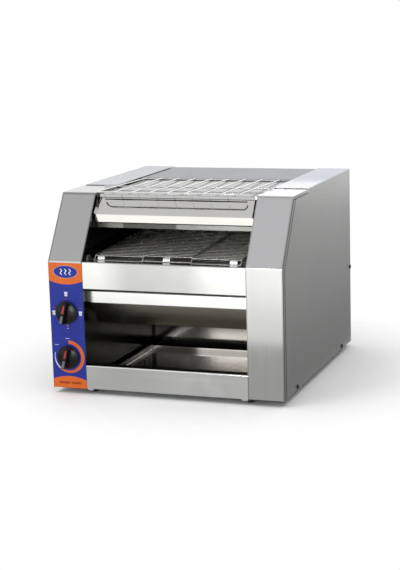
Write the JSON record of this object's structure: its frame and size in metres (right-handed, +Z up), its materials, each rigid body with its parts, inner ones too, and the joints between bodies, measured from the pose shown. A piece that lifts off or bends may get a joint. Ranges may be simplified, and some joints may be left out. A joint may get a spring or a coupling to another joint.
{
  "type": "conveyor toaster",
  "caption": "Countertop conveyor toaster: sheet-metal columns with a wire belt between heaters, return slide, pull-out tray, warming rack and two rotary controls.",
  "frame": {"origin": "centre of the bounding box's bottom face, where the feet stand", "axes": "+X to the right seen from the front, +Y towards the rear, +Z up; the controls face -Y"},
  "size_m": [0.4628, 0.535, 0.3822],
  "materials": {
    "casing_steel": "fine grain, satin",
    "bright_steel": "polished",
    "plated_wire": "bright plated",
    "galvanised_steel": "galvanised, dull",
    "heater_sheath": "oxidised sheath",
    "motor_paint": "satin paint",
    "overlay_film": "printed film, blue with orange ends",
    "knob_black": "moulded, gloss",
    "pointer_red": "moulded insert",
    "moulded_black": "moulded, satin",
    "foot_rubber": "moulded"
  },
  "bodies": {
    "chassis": {"base_pan": "galvanised_steel", "left_tray_runner": "galvanised_steel", "right_tray_runner": "galvanised_steel", "rear_panel": "galvanised_steel", "front_bearing_left": "galvanised_steel", "front_bearing_right": "galvanised_steel", "drive_bearing_left": "galvanised_steel", "drive_bearing_right": "galvanised_steel", "drive_chain": "galvanised_steel", "foot_front_left": "foot_rubber", "foot_front_right": "foot_rubber", "foot_rear_left": "foot_rubber", "foot_rear_right": "foot_rubber", "left_inner_wall": "casing_steel", "left_column_front": "casing_steel", "left_side_cover": "casing_steel", "right_inner_wall": "casing_steel", "right_column_front": "casing_steel", "right_side_cover": "casing_steel", "top_panel": "casing_steel", "front_apron": "casing_steel", "warming_shelf": "bright_steel", "hood_front": "bright_steel", "upper_reflector": "bright_steel", "lower_deflector": "bright_steel", "return_slide": "bright_steel", "lower_reflector": "bright_steel", "wire_belt": "plated_wire", "belt_support": "plated_wire", "upper_heater_front": "heater_sheath", "upper_heater_middle": "heater_sheath", "upper_heater_rear": "heater_sheath", "lower_heater_front": "heater_sheath", "lower_heater_middle": "heater_sheath", "lower_heater_rear": "heater_sheath", "gearmotor": "motor_paint", "control_overlay": "overlay_film", "selector_switch": "moulded_black", "speed_control": "moulded_black", "fan_frame": "moulded_black", "terminal_block": "moulded_black", "cable_gland": "moulded_black"},
    "selector": {"selector_knob": "knob_black", "selector_pointer": "pointer_red"},
    "speed": {"speed_knob": "knob_black", "speed_pointer": "pointer_red"},
    "front_roller": {"front_shaft": "plated_wire", "front_sprocket_left": "plated_wire", "front_sprocket_middle": "plated_wire", "front_sprocket_right": "plated_wire"},
    "drive_roller": {"drive_shaft": "plated_wire", "drive_sprocket_left": "plated_wire", "drive_sprocket_middle": "plated_wire", "drive_sprocket_right": "plated_wire", "driven_sprocket": "galvanised_steel"},
    "motor_output": {"motor_sprocket": "galvanised_steel"},
    "fan": {"fan_rotor": "moulded_black"},
    "tray": {"tray_pan": "bright_steel", "tray_front": "casing_steel"},
    "rack": {"warming_rack": "plated_wire"}
  },
  "joints": [
    {"name": "selector_turn", "type": "hinge", "parent": "chassis", "child": "selector", "pos_m": [-0.1955, -0.24615, 0.158], "axis": [0, 1, 0], "range_deg": [-194, 76]},
    {"name": "speed_turn", "type": "hinge", "parent": "chassis", "child": "speed", "pos_m": [-0.1955, -0.24615, 0.0715], "axis": [0, 1, 0], "range_deg": [-14, 256]},
    {"name": "drive_spin", "type": "hinge", "parent": "chassis", "child": "drive_roller", "pos_m": [0, 0.19446, 0.27143], "axis": [-1, 0, 0], "continuous": true, "deforming": ["wire_belt"]},
    {"name": "front_spin", "type": "hinge", "parent": "chassis", "child": "front_roller", "pos_m": [0, -0.21155, 0.2537], "axis": [-1, 0, 0], "continuous": true},
    {"name": "motor_spin", "type": "hinge", "parent": "chassis", "child": "motor_output", "pos_m": [0, 0.09045, 0.15988], "axis": [-1, 0, 0], "continuous": true, "deforming": ["drive_chain"]},
    {"name": "fan_spin", "type": "hinge", "parent": "chassis", "child": "fan", "pos_m": [-0.1955, 0.23245, 0.2], "axis": [0, 1, 0], "continuous": true},
    {"name": "tray_pull", "type": "slide", "parent": "chassis", "child": "tray", "axis": [0, -1, 0], "range_m": [0, 0.285]},
    {"name": "rack_lift", "type": "slide", "parent": "chassis", "child": "rack", "axis": [0, 0, 1], "range_m": [0, 0.06]}
  ],
  "couplings": [
    {"joint": "front_spin", "follows": "drive_spin", "ratio": 1},
    {"joint": "motor_spin", "follows": "drive_spin", "ratio": 1.5}
  ]
}
